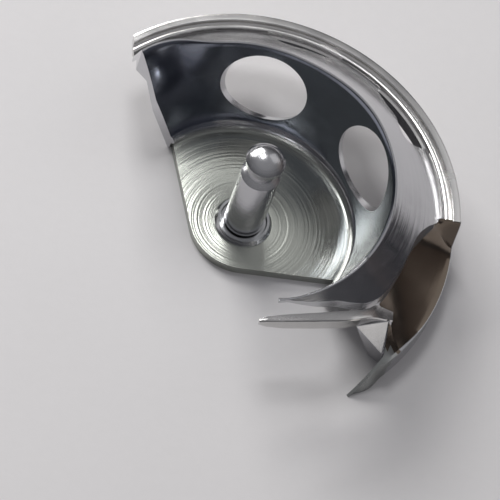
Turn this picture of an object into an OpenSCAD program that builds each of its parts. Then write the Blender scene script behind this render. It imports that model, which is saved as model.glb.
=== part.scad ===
// Oscillating shuttle hook: the steel basket that a bobbin case sits in.
// Origin: stud axis on the underside of the floor plate. +Z runs up the stud.
// The open side of the basket faces -X and -Y, and the beak points along -X.

/* [Stud] */
// Radius of the plain part of the centre stud
stud_r = 2.0; // [1.9:0.05:2.1]
// Radius of the domed head that the case latch snaps over
head_r = 2.0; // [1.8:0.05:2]
// Height of the edge of the head above the underside
head_z = 13.1; // [12.8:0.05:13.4]
// Radius of the neck below the head
neck_r = 1.4; // [1.2:0.05:1.6]
// Outer radius of the collar round the foot of the stud
collar_r = 2.95; // [2.8:0.05:3.1]

/* [Floor] */
// Thickness of the floor plate
floor_t = 1.0; // [0.9:0.05:1.1]
// Radius of the floor plate
floor_r = 11.3; // [11.2:0.05:11.4]
// Distance from the stud axis to the two cut edges and radius of the corner
floor_cut = 5.4; // [5:0.1:5.8]

/* [Basket] */
// Height of the rim
rim_z = 12.0; // [11.8:0.05:12.2]
// Radius of the rim circle
rim_r = 15.0; // [14.8:0.05:15.2]
// Distance of the rim's centre from the stud axis
rim_off = 1.82; // [1.6:0.02:2]
// Thickness of the wall below the rib
wall_t = 0.9; // [0.8:0.05:1.1]
// Diameter of the two windows
window_d = 8.1; // [7.8:0.1:8.2]
// Distance from the middle plane to the axis of each window
window_dy = 6.5; // [6.3:0.1:6.7]
// Height of the window axes
window_z = 6.2; // [6:0.1:6.4]
// Downward tilt of the window axes
window_tilt = 25; // [23:1:27]

/* [Race] */
// Radius of the race, the bearing surface of the hook
race_r = 21.2; // [21:0.05:21.4]
// Height of the top of the race ring
race_top = 7.0; // [6.9:0.05:7.1]
// Height of the underside of the race ring
race_low = 4.2; // [4.1:0.05:4.3]
// Radius of the seat that the race ring is pressed on
seat_r = 19.2; // [19.1:0.05:19.4]

/* [Beak and heel] */
// Height of the top of the beak
beak_top = 7.7; // [7.6:0.05:7.8]
// Height of the underside of the beak
beak_low = 6.1; // [6:0.05:6.2]
// Height of the outer edge of the heel
heel_z = 3.0; // [2.8:0.05:3.1]
// Inner radius of the lip under the heel
heel_in = 18.2; // [18:0.1:18.4]

/* [Hidden] */
$fn = 120;
big = 40;
far = 26;
// direction in which both windows are bored, and where their height is measured
window_az = 53;
window_at = 12;
// direction in which the rim's centre lies
rim_az = 185.7;
// foot of the stud, inside the floor plate and the collar
foot_r = stud_r - 0.4;
foot_z = floor_t + 0.65;
// height of the groove and the cone below the head, and angle of the dome at its edge
groove_h = 2.6;
dome_edge = 50;
dome_r = head_r / sin(dome_edge);
// radius of the inside of the basket at the height wall_z
wall_r = 11.4;
wall_z = 1.8;
lip_r = 10.9;
// growth of the wall's radius and of its offset with height
wall_k = (rim_r - wall_r) / (rim_z - wall_z);
wall_s = rim_off / (rim_z - wall_z);
// width of the rim
bevel = 0.3;
// height and slope of the ledge between the rim and the seat of the race ring
ledge_h = rim_z - 6.7;
ledge_k = (seat_r - rim_r - bevel) / ledge_h;
// underside of the ledge
under_z = race_low + 0.9;
rib_z = 9.4;
rib_r = 15.4;
// directions of the two straight cuts of the floor, from the stud axis
cut_left = 191.5;
cut_front = 268;
// corners of the tail end of the basket, seen from above
tail_in = [-7.4, 8.5];
tail_corner = [-12.35, 10.7];
tail_round = 1.5;
// end of the race ring, towards -Y
ring_end = 0.4;
// corners of the step between the ledge and the heel, seen from above
step_start = [19.2, -0.6];
step_bend = [16.1, -4.6];
step_corner = [12.3, -12.5];
step_end = [1, -14.93];
// beak and spur, and the free end of the wall between them, seen from above
beak_tip = [0.4, -15.1];
beak_mid = [9.1, -14.15];
throat = [14.1, -12.3];
spur_root = [13.67, -14.82];
spur_tip = [10.73, -18.18];
web_tip = [10.3, -13.7];
step_r = 17.2;
throat_az = -45;
// direction and steepness of the face that cuts the heel down to the spur
spur_az = -77;
spur_slope = 41;

function polar(r, a) = [r * cos(a), r * sin(a)];
function unit(v) = v / norm(v);
// points of a rounded corner at b between a and c
function rounded(a, b, c, r, n = 10) =
    let (u = unit(a - b), v = unit(c - b),
         half = acos(u * v) / 2,
         m = b + unit(u + v) * r / sin(half),
         s = b + u * r / tan(half),
         e = b + v * r / tan(half),
         a0 = atan2(s.y - m.y, s.x - m.x),
         a1 = atan2(e.y - m.y, e.x - m.x),
         turn = (a1 - a0 + 540) % 360 - 180)
    [for (i = [0 : n]) m + polar(r, a0 + turn * i / n)];

// cone with a tilted axis, close to a circle r0 at height z0 whose centre is at x0 and
// a circle r1 at height z1 whose centre is at x1, both along the direction rim_az
module tilted_cone(z0, z1, r0, r1, x0, x1) {
    k = (r1 - r0) / (z1 - z0);
    s = (x1 - x0) / (z1 - z0);
    half = atan(abs(k) / sqrt(1 + s * s));
    tilt = (asin(s * cos(2 * half) / sqrt(1 + s * s)) + atan(s)) / 2;
    reach = 1.5 * max(r0, r1) / abs(k);
    intersection() {
        rotate([0, 0, rim_az])
            translate([x0 - s * r0 / k, 0, z0 - r0 / k])
                rotate([0, tilt, 0])
                    rotate([k > 0 ? 0 : 180, 0, 0])
                        cylinder(h = reach, r1 = 0, r2 = reach * tan(half));
        translate([-big, -big, z0])
            cube([2 * big, 2 * big, z1 - z0]);
    }
}

// plan of the wall and ledge, from the tail round to the end of the rim
module wall_plan() {
    polygon(concat(
        [[0, 0], tail_in],
        rounded(tail_in, tail_corner, [tail_corner.x, far], tail_round),
        [[tail_corner.x, far], [far, far],
         [far, step_start.y], step_start],
        rounded(step_start, step_bend, step_corner, 5, 4),
        rounded(step_bend, step_corner, step_end, 4),
        [step_end, [2.2, -12]]));
}

// plan of the heel with the beak, above the spur
module heel_plan() {
    polygon([[8, -8], [15, 3], [far, 5.5], [far, -19],
             throat, beak_mid, beak_tip, [3, -13.2]]);
}

// plan of the heel at the height of the spur
module spur_plan() {
    polygon([[8, -8], [15, 3], [far, 5.5], [far, -19],
             spur_tip + [1.2, -2.1], spur_tip, spur_root, throat, polar(17, throat_az)]);
}

// half space on the far side of a plane through p with a normal at the given angles
module beyond(p, az, elevation) {
    translate(p)
        rotate([0, -elevation, az])
            translate([0, -big, -big])
                cube([2 * big, 2 * big, 2 * big]);
}

module prism(z0, z1) {
    translate([0, 0, z0])
        linear_extrude(z1 - z0)
            children();
}

// wall, rim and ledge before the inside is turned out
module wall_blank() {
    intersection() {
        union() {
            difference() {
                intersection() {
                    tilted_cone(race_low, rim_z, rim_r + bevel + ledge_k * (rim_z - race_low),
                                rim_r + bevel, rim_off * (1 - (rim_z - race_low) / ledge_h),
                                rim_off);
                    translate([0, 0, race_low])
                        cylinder(h = rim_z - race_low, r = seat_r);
                }
                // hollow under the ledge
                translate([0, 0, race_low - 1])
                    cylinder(h = under_z - race_low + 1, r = seat_r + 1);
                translate([0, 0, under_z])
                    cylinder(h = rib_z - under_z, r1 = seat_r, r2 = rib_r);
            }
            tilted_cone(0, rib_z, wall_r + wall_t / 2 - wall_k * wall_z,
                        wall_r + wall_t + wall_k * (rib_z - wall_z),
                        0, wall_s * rib_z);
        }
        prism(-1, big)
            wall_plan();
    }
}

module heel_blank() {
    intersection() {
        rotate_extrude()
            polygon([[13, 3.9], [heel_in, 3.2], [heel_in, 0], [race_r, 0],
                     [race_r, heel_z], [step_r, beak_top], [13, beak_top]]);
        union() {
            prism(beak_low, big)
                heel_plan();
            prism(-1, beak_low)
                spur_plan();
        }
    }
}

// faces that turn the end of the heel into a spur
module spur_cuts() {
    beyond([spur_tip.x - 0.3, spur_tip.y + 0.3, -0.2], spur_az, spur_slope);
}

module windows() {
    for (side = [-1, 1])
        rotate([0, 0, window_az])
            translate([window_at, side * window_dy, window_z])
                rotate([0, 90 + window_tilt, 0])
                    translate([0, 0, -8])
                        cylinder(h = 14, d = window_d);
}

module cavity() {
    tilted_cone(wall_z, rim_z + 1, wall_r, rim_r + wall_k, 0, rim_off + wall_s);
    translate([0, 0, floor_t])
        cylinder(h = wall_z - floor_t + 0.1, r1 = lip_r, r2 = lip_r + 0.3);
    translate([0, 0, -1])
        cylinder(h = floor_t + 1, r = floor_r);
}

module hook_body() {
    color([0.62, 0.62, 0.64])
    difference() {
        union() {
            wall_blank();
            difference() {
                heel_blank();
                spur_cuts();
            }
        }
        cavity();
        windows();
        // the wall past the throat hangs free above the needle plate
        prism(-1, beak_low)
            polygon([[0, 0], polar(17, throat_az), [web_tip.x, -12.9], web_tip, [6, -17], [-6, -17]]);
        // seat of the race ring
        prism(race_low - 1, race_top + 1)
            difference() {
                polygon([[-12.6, 12], [-12.6, far], [far, far], [far, ring_end],
                         [15, ring_end], [0, 0]]);
                circle(r = seat_r);
            }
    }
}

module floor_plate() {
    a = polar(floor_cut, cut_left);
    b = polar(floor_cut, cut_front);
    color([0.55, 0.56, 0.50])
    difference() {
        linear_extrude(floor_t)
            intersection() {
                circle(r = floor_r);
                union() {
                    circle(r = floor_cut);
                    polygon([[0, 0], a, a + polar(far, cut_left - 90), [far, far],
                             b + polar(far, cut_front + 90), b]);
                }
            }
        translate([0, 0, -1])
            cylinder(h = floor_t + 2, r = foot_r);
    }
}

module race_ring() {
    color([0.80, 0.79, 0.77])
    intersection() {
        rotate_extrude()
            polygon([[seat_r, race_low], [race_r, race_low], [race_r, race_top - 0.1],
                     [race_r - 0.1, race_top], [race_r - 0.9, race_top],
                     [race_r - 0.9, race_top - 0.35], [seat_r + 0.3, race_top - 0.35],
                     [seat_r + 0.3, race_top - 0.9], [seat_r, race_top - 0.9]]);
        prism(0, big)
            polygon([[0, ring_end], [tail_corner.x, 12], [tail_corner.x, far], [far, far],
                     [far, ring_end]]);
    }
}

module center_stud() {
    color([0.66, 0.66, 0.68])
    rotate_extrude()
        polygon(concat(
            [[0, 0], [foot_r, 0], [foot_r, foot_z], [stud_r, foot_z], [stud_r, head_z - groove_h],
             [stud_r - 0.25, head_z - groove_h + 0.2], [neck_r, head_z - groove_h + 0.45],
             [neck_r, head_z - 1.5], [head_r - 0.15, head_z - 0.95]],
            [for (a = [dome_edge : -5 : 0])
                [dome_r * sin(a), head_z + dome_r * (cos(a) - cos(dome_edge))]]));
}

module stud_collar() {
    color([0.45, 0.47, 0.50])
    translate([0, 0, floor_t])
    rotate_extrude()
        polygon([[foot_r, 0], [collar_r, 0], [collar_r, 0.15],
                 [collar_r - 0.3, 0.62], [collar_r - 0.55, 0.62],
                 [collar_r - 0.65, 0.4], [foot_r, 0.4]]);
}

hook_body();
floor_plate();
race_ring();
center_stud();
stud_collar();
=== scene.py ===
import math

import bmesh
import bpy
from mathutils import Matrix, Vector


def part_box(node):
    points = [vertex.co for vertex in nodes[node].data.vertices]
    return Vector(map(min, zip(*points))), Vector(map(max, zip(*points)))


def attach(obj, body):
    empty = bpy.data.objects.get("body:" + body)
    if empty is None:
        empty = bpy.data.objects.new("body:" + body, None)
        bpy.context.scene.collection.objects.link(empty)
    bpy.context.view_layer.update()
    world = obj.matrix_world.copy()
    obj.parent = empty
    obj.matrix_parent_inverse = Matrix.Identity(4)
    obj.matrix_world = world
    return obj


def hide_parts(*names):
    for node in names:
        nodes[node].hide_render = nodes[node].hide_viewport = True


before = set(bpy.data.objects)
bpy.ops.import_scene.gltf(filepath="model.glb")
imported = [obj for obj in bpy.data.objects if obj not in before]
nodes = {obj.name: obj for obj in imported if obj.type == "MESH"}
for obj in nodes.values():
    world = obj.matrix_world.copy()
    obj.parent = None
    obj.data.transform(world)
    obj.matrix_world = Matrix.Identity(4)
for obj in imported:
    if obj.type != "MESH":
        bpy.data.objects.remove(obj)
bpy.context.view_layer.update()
MM = 0.001


# ---- materials ----

class Graph:
    """Short way to write a node tree. Inputs go by name, or by number as #0, #1."""

    def __init__(self, owner):
        owner.use_nodes = True
        self.owner = owner
        self.tree = owner.node_tree
        self.tree.nodes.clear()

    def node(self, kind, settings=None, **inputs):
        n = self.tree.nodes.new(kind)
        for key, value in (settings or {}).items():
            setattr(n, key, value)
        for key, value in inputs.items():
            self.plug(n, key.replace("_", " "), value)
        return n

    def plug(self, node, key, value):
        socket = node.inputs[int(key[1:])] if key[0] == "#" else node.inputs[key]
        if isinstance(value, bpy.types.NodeSocket):
            self.tree.links.new(value, socket)
        else:
            socket.default_value = value

    def math(self, op, a, b):
        n = self.node("ShaderNodeMath", {"operation": op})
        self.plug(n, "#0", a)
        self.plug(n, "#1", b)
        return n.outputs[0]

    def ramp(self, value, low, high):
        """Colour ramp between two stops, each a position and a colour."""
        n = self.node("ShaderNodeValToRGB")
        self.plug(n, "#0", value)
        for item, (at, color) in zip(n.color_ramp.elements, (low, high)):
            item.position, item.color = at, (*color, 1)
        return n.outputs[0]

    def span(self, value, start, end, to_start, to_end):
        """Value carried from one range to another."""
        return self.node("ShaderNodeMapRange", Value=value, From_Min=start, From_Max=end,
                         To_Min=to_start, To_Max=to_end).outputs[0]

    def scale(self, vector, factors):
        n = self.node("ShaderNodeVectorMath", {"operation": "MULTIPLY"})
        self.plug(n, "#0", vector)
        self.plug(n, "#1", factors)
        return n.outputs[0]

    def noise(self, vector, scale, detail, rough=0.5):
        n = self.node("ShaderNodeTexNoise", Vector=vector, Scale=scale, Detail=detail, Roughness=rough)
        return n.outputs["Fac"]

    def blend(self, a, b, share):
        """Weighted sum of two values, where b has the given share."""
        return self.math("ADD", self.math("MULTIPLY", a, 1 - share), self.math("MULTIPLY", b, share))

    def bump(self, height, distance, strength, normal=None):
        n = self.node("ShaderNodeBump", Height=height, Distance=distance, Strength=strength)
        if normal is not None:
            self.plug(n, "Normal", normal)
        return n.outputs[0]

    def principled(self, **inputs):
        shader = self.node("ShaderNodeBsdfPrincipled")
        for key, value in inputs.items():
            self.plug(shader, key.replace("_", " "), value)
        out = self.node("ShaderNodeOutputMaterial")
        self.tree.links.new(shader.outputs[0], out.inputs[0])
        return self.owner


# noise scales, in repeats per metre
GRAIN, SMEAR, PATCH = 7000.0, 900.0, 180.0
GRAIN_DEPTH = 0.002                 # mm
GROOVE_DEPTH = 0.12                 # as a part of the pitch


def steel(name, color, rough, turned=0.0, pitch=0.25, aniso=0.0, scratch=0.1, wear=0.3, dome=0.0):
    """Steel with the marks of turning, grain and worn patches.

    turned and pitch are the strength and the spacing, in mm, of the rings round the stud axis. aniso draws the
    highlights out along them, scratch is the strength of the grain, wear is how far the roughness varies, and
    dome tips the normals outwards, as on a face that is slightly raised in the middle.
    """
    g = Graph(bpy.data.materials.new(name))
    pos = g.node("ShaderNodeTexCoord").outputs["Object"]
    xyz = g.node("ShaderNodeSeparateXYZ", Vector=pos)
    flat = g.node("ShaderNodeCombineXYZ", X=xyz.outputs[0], Y=xyz.outputs[1])
    length = g.node("ShaderNodeVectorMath", {"operation": "LENGTH"})
    g.plug(length, "#0", flat.outputs[0])
    radius = length.outputs["Value"]
    # the noise is read along the radius and the height, so its bands run round the axis
    bands = g.node("ShaderNodeCombineXYZ", X=radius, Y=xyz.outputs[2])
    grooves = g.noise(bands.outputs[0], 1 / (pitch * MM), 2.5, 0.65)
    grain = g.noise(g.scale(pos, (1.0, 1.0, 0.35)), GRAIN, 1.0)
    patch = g.noise(pos, PATCH, 5.0, 0.6)
    smear = g.noise(g.scale(pos, (0.4, 1.0, 1.0)), SMEAR, 1.0)
    rise = g.math("MULTIPLY", g.math("MULTIPLY", radius, radius), -dome)
    normal = g.bump(rise, 1.0, 1.0 if dome else 0.0)
    normal = g.bump(grooves, pitch * GROOVE_DEPTH * MM, turned, normal)
    normal = g.bump(grain, GRAIN_DEPTH * MM, scratch, normal)
    worn = g.span(g.blend(patch, smear, 0.35), 0.3, 0.7, rough * (1 - wear), rough * (1 + wear))
    tint = g.node("ShaderNodeMix", {"data_type": "RGBA"})
    g.plug(tint, "#0", g.math("MULTIPLY", grooves, 0.8))
    g.plug(tint, "#6", (*[c * 0.9 for c in color], 1))
    g.plug(tint, "#7", (*[min(1, c * 1.06) for c in color], 1))
    tangent = g.node("ShaderNodeTangent", {"direction_type": "RADIAL", "axis": "Z"})
    return g.principled(Base_Color=tint.outputs[2], Metallic=1.0, Roughness=worn, Anisotropic=aniso,
                        Tangent=tangent.outputs[0], Normal=normal)


def paper():
    """Smooth paper with painted shade: its colour darkens a little towards +X and -Y, where the light is
    weaker.
    """
    g = Graph(bpy.data.materials.new("paper"))
    pos = g.node("ShaderNodeTexCoord").outputs["Object"]
    grain = g.noise(pos, 900.0, 6.0, 0.6)
    cloud = g.noise(pos, 25.0, 3.0)
    color = g.ramp(g.blend(grain, cloud, 0.7), (0.3, (0.76, 0.745, 0.755)), (0.7, (0.80, 0.785, 0.795)))
    xyz = g.node("ShaderNodeSeparateXYZ", Vector=pos)
    # painted shade: the colour falls to 84% towards +X and -Y
    across = g.math("SUBTRACT", g.math("MULTIPLY", xyz.outputs[0], 1.5), xyz.outputs[1])
    color = g.scale(color, g.span(across, 0.06, 0.26, 1.0, 0.84))
    return g.principled(Base_Color=color, Roughness=0.8, Normal=g.bump(grain, 0.03 * MM, 0.4))


def dress(obj, mat):
    obj.data.materials.clear()
    obj.data.materials.append(mat)


# ---- sizes, in millimetres and degrees round the stud axis, in the frame of the CAD ----

def mm(length):
    """A length from the frame in whole hundredths of a millimetre, as it was drawn."""
    return round(length / MM, 2)


body_lo, body_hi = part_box("hook_body")
ring_lo, ring_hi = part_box("race_ring")
floor_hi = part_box("floor_plate")[1]

# wall: a leaning cone whose upper circle lies off the stud axis, towards RIM_AZ
RIM_Z, RIM_R, RIM_OFF, RIM_AZ, RIM_W = mm(body_hi.z), 15.0, 1.82, 185.7, 0.3
RIM_ROUND = 0.15
WALL_Z, WALL_R, WALL_T = 1.8, 11.4, 0.9
FLOOR_R, FLOOR_T = mm(floor_hi.x), mm(floor_hi.z)
# the rim is pressed in beside the window nearer the tail, and flares at the tail
PRESSED, FLARE = 0.75, 0.9
# race ring and its seat at the foot of the ledge
SEAT_R, SEAT_Z, LEDGE_T = mm(body_hi.y), 6.7, 1.2
RACE_R, RACE_TOP, RACE_LOW, RACE_LOW_TAIL = mm(ring_hi.x), mm(ring_hi.z), mm(ring_lo.z), 5.6
RING_END, RING_TAIL = -3.0, 129
# tail: cut along X and along the line from TAIL_IN to TAIL_CORNER
TAIL_X, TAIL_ROUND, TAIL_AZ = mm(body_lo.x), 1.6, 136
TAIL_IN, TAIL_CORNER = (-7.4, 8.5), (TAIL_X, 10.7)
# heel, its end at the throat, and the spur beyond it
HEEL_Z, HEEL_IN, HEEL_AZ = 3.0, 18.2, -42.5
BRIM_R, THROAT_Z, NOTCH_X = 20.9, 5.7, 13.85
SPUR_BULGE, SPUR_TIP_R, RIDGE_AZ, SPUR_AZ = 0.35, 21.05, -47.3, -59.5
PRONG_AZ, PRONG_TIP_R = -84.5, 14.75
BEAK_TOP, BEAK_LOW = 7.7, 6.1
# two parallel windows, bored outwards and down, and openings in the ledge beside the race ring
WINDOW_D, WINDOW_DY, WINDOW_Z, WINDOW_TILT, WINDOW_AZ, WINDOW_AT = 8.1, 6.5, 6.2, 25, 53, 12
SLIT_AZ, SLIT_R, SLIT_DEPTH, SLIT_LENGTH = (35.5, 73.5), 18.9, 1.7, 7.9
CUTTER_L = 14

# azimuth and radius of the step between the ledge and the heel
STEP = [(-86, 14.95), (-62, 15.6), (-55, 16.25), (-50, 16.75), (-44, 17.0), (-38, 16.85), (-31, 16.6),
        (-22, 16.6), (-15, 16.75), (-9, 17.6), (-5.5, 18.5), (-2, SEAT_R)]
# azimuth and height of the steep face below that step
DROP = [(-46, 1.6), (-41, 2.1), (-35, 2.9), (-28, 3.5), (-20, 3.7), (-14, 3.2), (-9, 2.4), (-5.5, 0.6),
        (-2, 0.1)]
# along the beak: x, inner and outer edge, height of the top and how far its inner edge stands up
BEAK = [(14.3, -11.4, -12.3, 5.3, 0.3), (13.2, -11.6, -12.7, 6.1, 0.4), (12.4, -11.7, -12.95, 6.7, 0.5),
        (11.6, -12.1, -13.25, 7.2, 0.5), (10.2, -12.7, -13.8, 7.55, 0.4), (9.1, -13.2, -14.12, 7.7, 0.4),
        (6.0, -13.7, -14.5, 7.7, 0.3), (3.0, -14.15, -14.85, 7.7, 0.2), (1.2, -14.5, -15.05, 7.7, 0.1),
        (0.4, -14.85, -15.12, 7.65, 0.0)]
# corners of the facet that joins the beak to the heel: four on its face, the others behind it
WEB = [(10.4, -13.7, 6.1), (13.95, -12.5, 5.7), (13.67, -14.8, 2.95), (12.94, -13.43, 0.0),
       (14.15, -14.6, 2.85), (14.2, -12.4, 0.0), (14.2, -14.4, 0.0), (14.2, -12.4, 5.4), (10.6, -13.1, 6.1)]
# section of the race ring as radius and height; the first three heights are above its underside
RING = [(SEAT_R, 0.4), (RACE_R - 0.15, 0.0), (RACE_R, 0.12), (RACE_R, RACE_TOP - 0.2),
        (RACE_R - 0.06, RACE_TOP - 0.06), (RACE_R - 0.2, RACE_TOP), (20.42, RACE_TOP), (20.34, RACE_TOP - 0.07),
        (20.3, 6.6), (20.12, 6.5), (20.06, 6.62), (19.93, 6.74), (19.75, 6.78), (19.57, 6.72), (19.48, 6.55),
        (19.45, 6.2), (SEAT_R, 6.1)]


# ---- curves of the hook ----

def mix(a, b, t):
    return a + (b - a) * t


def smooth(a, b, x):
    """Soft step from 0 at a to 1 at b."""
    t = min(1, max(0, (x - a) / (b - a)))
    return t * t * (3 - 2 * t)


def curve(points, x):
    """Height at x of a smooth curve through a few points, in order of their x."""
    i = next((k for k in range(len(points) - 1) if x <= points[k + 1][0]), len(points) - 2)

    def slope(k):
        (xa, ya), (xb, yb) = points[max(0, k - 1)], points[min(len(points) - 1, k + 1)]
        return (yb - ya) / (xb - xa)

    (x0, y0), (x1, y1) = points[i], points[i + 1]
    h, t = x1 - x0, min(1, max(0, (x - x0) / (x1 - x0)))
    return (y0 * (1 + 2 * t) * (1 - t) ** 2 + h * slope(i) * t * (1 - t) ** 2
            + y1 * t * t * (3 - 2 * t) + h * slope(i + 1) * t * t * (t - 1))


def off_centre(radius, off, az):
    """Distance from the stud axis to a circle whose centre lies off it towards RIM_AZ."""
    a = math.radians(az - RIM_AZ)
    return off * math.cos(a) + math.sqrt(radius ** 2 - (off * math.sin(a)) ** 2)


def rim_shift(az):
    """How far the rim lies outside its circle."""
    return FLARE * smooth(112, 134, az) - PRESSED * smooth(30, 76, az) * (1 - smooth(106, 124, az))


def wall(az, z, extra=0.0):
    """Radius of the wall's inside at a height, plus a thickness."""
    t = (z - WALL_Z) / (RIM_Z - WALL_Z)
    return off_centre(mix(WALL_R, RIM_R, t) + extra, RIM_OFF * t, az) + rim_shift(az) * t ** 3


def ledge(az, t):
    """Point of the ledge at an azimuth, with t = 0 at the rim and 1 at the seat of the race ring."""
    r = off_centre(mix(RIM_R + RIM_W, SEAT_R, t), RIM_OFF * (1 - t), az) + rim_shift(az) * (1 - t)
    return r, mix(RIM_Z, SEAT_Z, t)


def ledge_at(az, r):
    """The t at which the ledge has a radius, found by halving."""
    lo, hi = 0.0, 1.0
    for _ in range(30):
        mid = (lo + hi) / 2
        lo, hi = (mid, hi) if ledge(az, mid)[0] < r else (lo, mid)
    return lo


def race_low(az):
    """Underside of the race, which rises towards the tail."""
    return mix(RACE_LOW, RACE_LOW_TAIL, smooth(100, 124, az))


def polar(r, az, z):
    a = math.radians(az)
    return Vector((r * math.cos(a), r * math.sin(a), z)) * MM


# ---- mesh helpers ----

def place_object(name, data):
    obj = bpy.data.objects.new(name, data)
    bpy.context.scene.collection.objects.link(obj)
    return obj


def mesh_object(name, bm):
    mesh = bpy.data.meshes.new(name)
    bm.to_mesh(mesh)
    bm.free()
    return place_object(name, mesh)


def shade(obj, sharp):
    """Smooth shading, with edges sharper than an angle in degrees left sharp."""
    for poly in obj.data.polygons:
        poly.use_smooth = True
    obj.data.set_sharp_from_angle(angle=math.radians(sharp))


def new_piece(name, bm, sharp, bevel, *mats):
    """Piece of the hook, with the edges that are sharper than an angle bevelled."""
    bmesh.ops.remove_doubles(bm, verts=bm.verts, dist=1e-6)
    bmesh.ops.recalc_face_normals(bm, faces=bm.faces)
    obj = mesh_object(name, bm)
    shade(obj, sharp)
    if bevel:
        m = obj.modifiers.new("edges", "BEVEL")
        m.width, m.segments, m.limit_method = bevel * MM, 2, "ANGLE"
        m.angle_limit, m.use_clamp_overlap = math.radians(sharp), True
        m.harden_normals = True
    for mat in mats:
        obj.data.materials.append(mat)
    return obj


def loft(bm, sections, kind=None):
    """Skin over closed sections with the same number of points. kind(row, side) is a side's material."""
    rows = [[bm.verts.new(p) for p in s] for s in sections]
    n = len(rows[0])
    for k, (a, b) in enumerate(zip(rows, rows[1:])):
        for i in range(n):
            face = bm.faces.new((a[i], a[(i + 1) % n], b[(i + 1) % n], b[i]))
            face.material_index = kind(k, i) if kind else 0
    bm.faces.new(rows[0][::-1])
    bm.faces.new(rows[-1])


def cut_tail(bm, point, normal):
    """Cuts the tail back to a plane, on the side that the normal points to, and closes the cut."""
    def at_tail(verts):
        return all(v.co.x < 0 and v.co.y > 0 for v in verts)

    geom = [v for v in bm.verts if at_tail([v])]
    geom += [part for part in (*bm.edges, *bm.faces) if at_tail(part.verts)]
    out = bmesh.ops.bisect_plane(bm, geom=geom, plane_co=Vector(point) * MM, plane_no=Vector(normal),
                                 clear_outer=True, dist=1e-7)
    bmesh.ops.holes_fill(bm, edges=[e for e in out["geom_cut"] if isinstance(e, bmesh.types.BMEdge)])


def window_cutter(side):
    """Cylinder whose axis points outwards and down, on one side of WINDOW_AZ."""
    bm = bmesh.new()
    radius = WINDOW_D / 2 * MM
    bmesh.ops.create_cone(bm, cap_ends=True, segments=128, radius1=radius, radius2=radius, depth=CUTTER_L * MM)
    place = Matrix.Translation(Vector((WINDOW_AT, side * WINDOW_DY, WINDOW_Z)) * MM)
    lean = Matrix.Rotation(math.radians(90 + WINDOW_TILT), 4, "Y")
    bm.transform(Matrix.Rotation(math.radians(WINDOW_AZ), 4, "Z") @ place @ lean
                 @ Matrix.Translation((0, 0, -MM)))
    return mesh_object("window", bm)


def slit_cutter(az):
    """Upright cutter of oval plan on the seat of the race ring."""
    bm = bmesh.new()
    depth = mid_z = 8 * MM
    bmesh.ops.create_cone(bm, cap_ends=True, segments=64, radius1=MM, radius2=MM, depth=depth)
    bmesh.ops.scale(bm, vec=(SLIT_DEPTH, SLIT_LENGTH / 2, 1), verts=bm.verts)
    bm.transform(Matrix.Rotation(math.radians(az), 4, "Z") @ Matrix.Translation((SLIT_R * MM, 0, mid_z)))
    return mesh_object("slit", bm)


def bore(obj, cutters):
    """Cuts the cutters out of an object's mesh and removes them."""
    for cutter in cutters:
        m = obj.modifiers.new("bore", "BOOLEAN")
        m.operation, m.solver, m.object = "DIFFERENCE", "EXACT", cutter
    depsgraph = bpy.context.evaluated_depsgraph_get()
    mesh = bpy.data.meshes.new_from_object(obj.evaluated_get(depsgraph), depsgraph=depsgraph)
    obj.modifiers.clear()
    obj.data = mesh
    for cutter in cutters:
        bpy.data.objects.remove(cutter)
    shade(obj, 32)


# ---- wall, ledge and heel ----

def inside_points(az):
    """Floor seat and inside of the wall, up to the rim: 14 points."""
    pts = [(FLOOR_R, 0), (FLOOR_R, FLOOR_T), (10.9, FLOOR_T), (11.0, 1.3), (11.25, WALL_Z)]
    pts += [(wall(az, z), z) for z in (2.0, 3.5, 5, 7, 9, 10.5, 11.4, RIM_Z - RIM_ROUND)]
    return pts + [(wall(az, RIM_Z) + 0.1, RIM_Z)]


def ledge_points(az):
    """Top of the ledge, from the rim to the step or the race ring: 9 points."""
    end = ledge_at(az, curve(STEP, az)) if az < -2 else 1.0
    return [ledge(az, end * i / 8) for i in range(9)]


def heel_points(az, r_edge, z_edge):
    """Step, top, side and underside of the heel: 15 points."""
    brim = mix(HEEL_Z, 6.9, smooth(-5.0, -3.6, az))
    z_step = max(z_edge - curve(DROP, az), brim)
    r_brim = mix(RACE_R - 0.05, BRIM_R, smooth(-30, -44, az))
    bow = mix(1.15, 0.9, smooth(-30, -42, az))
    pts = [(r_edge + 0.03, z_step)]
    for i in range(1, 8):
        u = 1 - i / 7
        pts.append((mix(r_brim, r_edge, u), brim + (z_step - brim) * u ** bow))
    return pts + [(RACE_R, brim), (RACE_R, 0.0), (HEEL_IN, 0.0), (HEEL_IN, 3.0), (14.5, 4.2),
                  (wall(az, 4.4, WALL_T), 4.4), (wall(az, 1.0, WALL_T / 2), 0.0)]


def race_points(az):
    """Seat of the race ring, underside of the ledge and outside of the wall: 15 points."""
    low = race_low(az) + 0.4
    pts = [(SEAT_R, mix(SEAT_Z, low, (i + 0.5) / 10)) for i in range(9)] + [(SEAT_R, low)]
    pts += [(r, z - LEDGE_T) for r, z in (ledge(az, 0.86), ledge(az, 0.6), ledge(az, 0.4))]
    return pts + [(wall(az, 8.4, WALL_T), 8.4), (wall(az, 1.0, WALL_T / 2), 0.0)]


def body_section(az):
    heel = smooth(-1.5, -2.5, az)                 # 0 beside the race ring, 1 at the heel
    top = ledge_points(az)
    side = [(mix(a[0], b[0], heel), mix(a[1], b[1], heel))
            for a, b in zip(race_points(az), heel_points(az, *top[-1]))]
    return [polar(r, az, z) for r, z in inside_points(az) + top + side]


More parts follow.
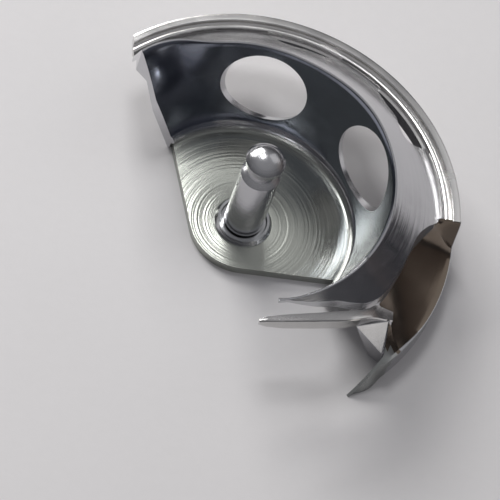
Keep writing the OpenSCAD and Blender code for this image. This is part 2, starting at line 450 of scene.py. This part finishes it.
def make_body(mat, painted_wall_reflection_mat, painted_heel_reflection_mat, painted_crevice_shade_mat):
    bm = bmesh.new()
    # close together where the heel runs out beside the end of the race ring
    stops = [HEEL_AZ, *range(-42, -8), *(-8 + 0.5 * i for i in range(16)), *range(TAIL_AZ + 1)]

    def kind(k, side):
        """Sides 5 to 12 are the inside of the wall, 22 the step and 23 to 29 the top of the heel."""
        # the inside of the wall gets the painted dark reflection
        if 5 <= side <= 12:
            return 1
        # the step gets painted shade
        if side == 22 and stops[k] < -6:
            return 3
        # the top of the heel gets the painted brown reflection
        return 2 if 22 <= side <= 29 and stops[k] < -2 else 0

    loft(bm, [body_section(a) for a in stops], kind)
    cut_tail(bm, (TAIL_X, 0, 0), (-1, 0, 0))
    run, rise = TAIL_CORNER[0] - TAIL_IN[0], TAIL_CORNER[1] - TAIL_IN[1]
    cut_tail(bm, (*TAIL_IN, 0), (-rise, run, 0))
    # round the corner between the two cuts
    slant = math.atan2(run, -rise) % math.tau
    reach = TAIL_ROUND * math.tan((slant - math.pi) / 2)
    centre = Vector((TAIL_X + TAIL_ROUND, TAIL_CORNER[1] + reach, 0))
    for i in range(1, 7):
        a = mix(math.pi, slant, i / 7)
        out = Vector((math.cos(a), math.sin(a), 0))
        cut_tail(bm, centre + out * TAIL_ROUND, out)
    return new_piece("hook_shell", bm, 32, 0.0, mat, painted_wall_reflection_mat, painted_heel_reflection_mat, painted_crevice_shade_mat)


def make_prong(mat):
    """Rim end past the heel: a tapering blade with the step under it."""
    bm = bmesh.new()
    sections = []
    for i in range(40):
        az = mix(HEEL_AZ + 1, PRONG_AZ, i / 39)
        thick = smooth(PRONG_AZ, -58, az)
        depth = mix(0.35, 1.3, thick)
        end = ledge_at(az, curve(STEP, az))
        r_in = mix(PRONG_TIP_R, wall(az, RIM_Z), smooth(-84.8, -70, az))
        pts = [(r_in, RIM_Z - RIM_ROUND), (r_in + 0.12, RIM_Z)]
        pts += [ledge(az, end * k / 5) for k in range(6)]
        r_edge, z_edge = pts[-1]
        pts += [(r_edge + 0.02, z_edge - depth), (mix(r_edge, r_in, 0.5), z_edge - depth - 0.15 * thick),
                (r_in, z_edge - depth - 0.3 * thick)]
        sections.append([polar(r, az, z) for r, z in pts])
    loft(bm, sections)
    return new_piece("rim_prong", bm, 32, 0.06, mat)


# ---- beak, spur and the facet between them ----

def make_beak(mat):
    bm = bmesh.new()
    sections = []
    for i, (x, y_in, y_out, top, lift) in enumerate(BEAK):
        tip = max(0, i / (len(BEAK) - 1) - 0.75) * 4       # 0 along most of the beak, 1 at its tip
        low = min(mix(BEAK_LOW, BEAK_TOP - 0.7, tip), top - 0.4)
        pts = [(y_in, top + lift), (mix(y_in, y_out, 0.3), top + lift * 0.4),
               (mix(y_in, y_out, 0.65), top + 0.04),
               (y_out + 0.1, top), (y_out, top - 0.12), (y_out + 0.05, low), (y_in, low)]
        sections.append([Vector((x, y, z)) * MM for y, z in pts])
    loft(bm, sections)
    return new_piece("beak", bm, 32, 0.05, mat)


def make_spur(mat, painted_heel_reflection_mat, side_mat):
    """End of the heel beyond the throat, and the spur: a ridge that falls to the underside."""
    steps = 32
    start = HEEL_AZ + 1
    bm = bmesh.new()
    sections = []
    for i in range(steps + 1):
        az = mix(start, SPUR_AZ, i / steps)
        notch = min(1, max(0, (az - HEEL_AZ) / (RIDGE_AZ - HEEL_AZ)))     # 0 at the throat, 1 at the ridge
        t = max(0, (az - RIDGE_AZ) / (SPUR_AZ - RIDGE_AZ))                # 0 at the ridge, 1 at the tip
        in_r = mix(NOTCH_X / math.cos(math.radians(max(az, RIDGE_AZ))), SPUR_TIP_R, t)
        in_z = mix(THROAT_Z, HEEL_Z, notch) * (1 - t ** 1.1)
        edge_r = mix(BRIM_R, in_r + 0.12, smooth(0, 0.12, t))
        edge_z = min(HEEL_Z, in_z)
        side_r = mix(RACE_R, in_r + 0.3, smooth(0, 0.2, t))
        foot_r = RACE_R + SPUR_BULGE * math.sin(math.pi * t) ** 2
        pts = [(in_r, in_z), (mix(in_r, edge_r, 0.5), mix(in_z, edge_z, 0.6)), (edge_r, edge_z),
               (side_r, edge_z - 0.05 * (1 - t)), (mix(side_r, foot_r, 0.6), edge_z * 0.5), (foot_r, 0.0),
               (in_r + 0.05, 0.0), (in_r + 0.02, in_z * 0.4)]
        sections.append([polar(r, az, z) for r, z in pts])
    ridge = round(steps * (RIDGE_AZ - start) / (SPUR_AZ - start))
    # rows by which the ground face of the spur starts before the ridge, for each side of the section
    early = (2, 5, 6, 3, 1, 0, 0, 0)
    # before the ground face, the top of the spur takes the painted brown reflection of the heel
    loft(bm, sections, lambda k, i: 0 if k >= ridge - early[i] else 1 if i < 3 else 2)
    return new_piece("heel_spur", bm, 25, 0.0, mat, painted_heel_reflection_mat, side_mat)


def make_web(mat):
    bm = bmesh.new()
    hull = bmesh.ops.convex_hull(bm, input=[bm.verts.new(Vector(p) * MM) for p in WEB])
    inner = [v for v in hull["geom_interior"] if isinstance(v, bmesh.types.BMVert)]
    bmesh.ops.delete(bm, geom=inner, context="VERTS")
    bmesh.ops.dissolve_limit(bm, angle_limit=math.radians(3), verts=bm.verts, edges=bm.edges)
    return new_piece("beak_web", bm, 20, 0.05, mat)


# ---- race ring ----

def make_ring(mat, ring_inner_painted_shade_mat):
    bm = bmesh.new()
    stops = [RING_END, RING_END + 0.5, *range(-2, RING_TAIL + 1)]
    loft(bm, [[polar(r, a, z + (race_low(a) if z < 1 else 0)) for r, z in RING] for a in stops])
    cut_tail(bm, (TAIL_X, 0, 0), (-1, 0, 0))
    ring = new_piece("race_band", bm, 40, 0.0, mat, ring_inner_painted_shade_mat)
    # faces on the inside of the ring, at its seat, take the painted shade
    for poly in ring.data.polygons:
        poly.material_index = int(poly.center.xy.length < (SEAT_R + 0.1) * MM)
    return ring


# ---- pieces ----

body_mat = steel("hook_body", (0.60, 0.60, 0.62), 0.16, turned=0.15, pitch=0.5)
ring_mat = steel("race_ring", (0.74, 0.73, 0.72), 0.22, turned=0.2, pitch=0.3, aniso=0.4)
# inside of the wall: its dark blue-grey base colour is a painted reflection of the dark room, not the steel's
# own colour
painted_wall_reflection_mat = steel("wall_inside_painted_reflection", (0.26, 0.28, 0.33), 0.17, turned=0.1, pitch=0.5, scratch=0.0)
# top of the heel: its brown base colour is a painted reflection of brown surroundings, not the steel's own
# colour
painted_heel_reflection_mat = steel("heel_top_painted_reflection", (0.19, 0.155, 0.125), 0.2, turned=0.1, pitch=0.5)
# near-black base colour: painted shade for the step below the ledge and the inner face of the race ring at its
# seat
painted_crevice_shade_mat = steel("gap_painted_shade", (0.10, 0.10, 0.11), 0.45)
# spur's ground face: a rougher ground finish, with a darker base colour that is a painted reflection of dark
# surroundings
ground_and_painted_reflection_mat = steel("ground_face_painted_reflection", (0.42, 0.43, 0.42), 0.3, turned=0.1, pitch=0.5)

body = make_body(body_mat, painted_wall_reflection_mat, painted_heel_reflection_mat, painted_crevice_shade_mat)
bore(body, [window_cutter(side) for side in (-1, 1)] + [slit_cutter(az) for az in SLIT_AZ])
parts = [make_prong(body_mat), make_beak(ring_mat), make_spur(ground_and_painted_reflection_mat, painted_heel_reflection_mat, body_mat),
         make_web(body_mat)]
ring = make_ring(ring_mat, painted_crevice_shade_mat)

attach(body, "root")
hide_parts("hook_body")
for p in parts:
    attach(p, "root")
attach(ring, "root")
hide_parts("race_ring")

dress(nodes["floor_plate"], steel("floor_plate", (0.47, 0.485, 0.445), 0.25, turned=0.9, pitch=0.6,
                                  aniso=0.5, wear=0.06, dome=6.5))
dress(nodes["center_stud"], steel("center_stud", (0.60, 0.60, 0.62), 0.22, turned=0.15, pitch=0.3))
dress(nodes["stud_collar"], steel("stud_collar", (0.60, 0.61, 0.62), 0.2, turned=0.4, pitch=0.2, aniso=0.4))


# ---- floor, lights, room and camera, in metres ----

def lay_floor(size, place):
    bm = bmesh.new()
    bmesh.ops.create_grid(bm, x_segments=1, y_segments=1, size=size / 2)
    floor = mesh_object("paper", bm)
    floor.location = place
    dress(floor, paper())


def area_light(name, place, size, power, color=(1, 1, 1)):
    """Rectangular light that faces the hook."""
    data = bpy.data.lights.new(name, "AREA")
    data.shape, data.size, data.size_y = "RECTANGLE", *size
    data.energy, data.color = power, color
    light = place_object(name, data)
    light.location = place
    light.rotation_euler = (-Vector(place)).to_track_quat("-Z", "Y").to_euler()


def light_room():
    """Dim room, lighter above than below."""
    world = bpy.data.worlds.new("room")
    bpy.context.scene.world = world
    g = Graph(world)
    height = g.node("ShaderNodeSeparateXYZ", Vector=g.node("ShaderNodeTexCoord").outputs["Generated"])
    color = g.ramp(height.outputs[2], (0.1, (0.03, 0.03, 0.035)), (0.9, (0.30, 0.30, 0.31)))
    glow = g.node("ShaderNodeBackground", Color=color, Strength=1.0)
    out = g.node("ShaderNodeOutputWorld")
    g.tree.links.new(glow.outputs[0], out.inputs[0])


def aim_camera(place, lens, right, down):
    """Camera with a focal length in mm. right and down are the directions of the picture's two sides."""
    data = bpy.data.cameras.new("camera")
    data.sensor_width, data.lens = 36.0, lens
    data.clip_start, data.clip_end = 0.01, 10.0
    camera = place_object("camera", data)
    ahead = right.cross(down)
    turn = Matrix((right, -down, -ahead)).transposed()
    camera.matrix_world = Matrix.Translation(place) @ turn.to_4x4()
    bpy.context.scene.camera = camera


lay_floor(0.9, (-0.085, 0.1, 0))
area_light("window", (-0.38, 0.8, 0.5), (0.7, 0.35), 10.0, (1.0, 0.99, 0.97))
area_light("ceiling", (-0.15, 0.5, 0.95), (0.3, 0.3), 2.9)
area_light("white_card", (0.35, -0.36, 0.06), (0.12, 0.1), 0.03, (1.0, 0.97, 0.92))
area_light("fill", (0.5, 0.35, 0.55), (0.5, 0.5), 0.35)
area_light("brown_card", (0.45, 0.08, 0.2), (0.35, 0.25), 0.015, (1.0, 0.7, 0.55))
light_room()
aim_camera((-0.065643, -0.205816, 0.341918), 288.3,
           Vector((0.98156, 0, 0.19117)), Vector((0.09633, -0.86374, -0.49464)))
bpy.context.scene.view_settings.view_transform = "Standard"
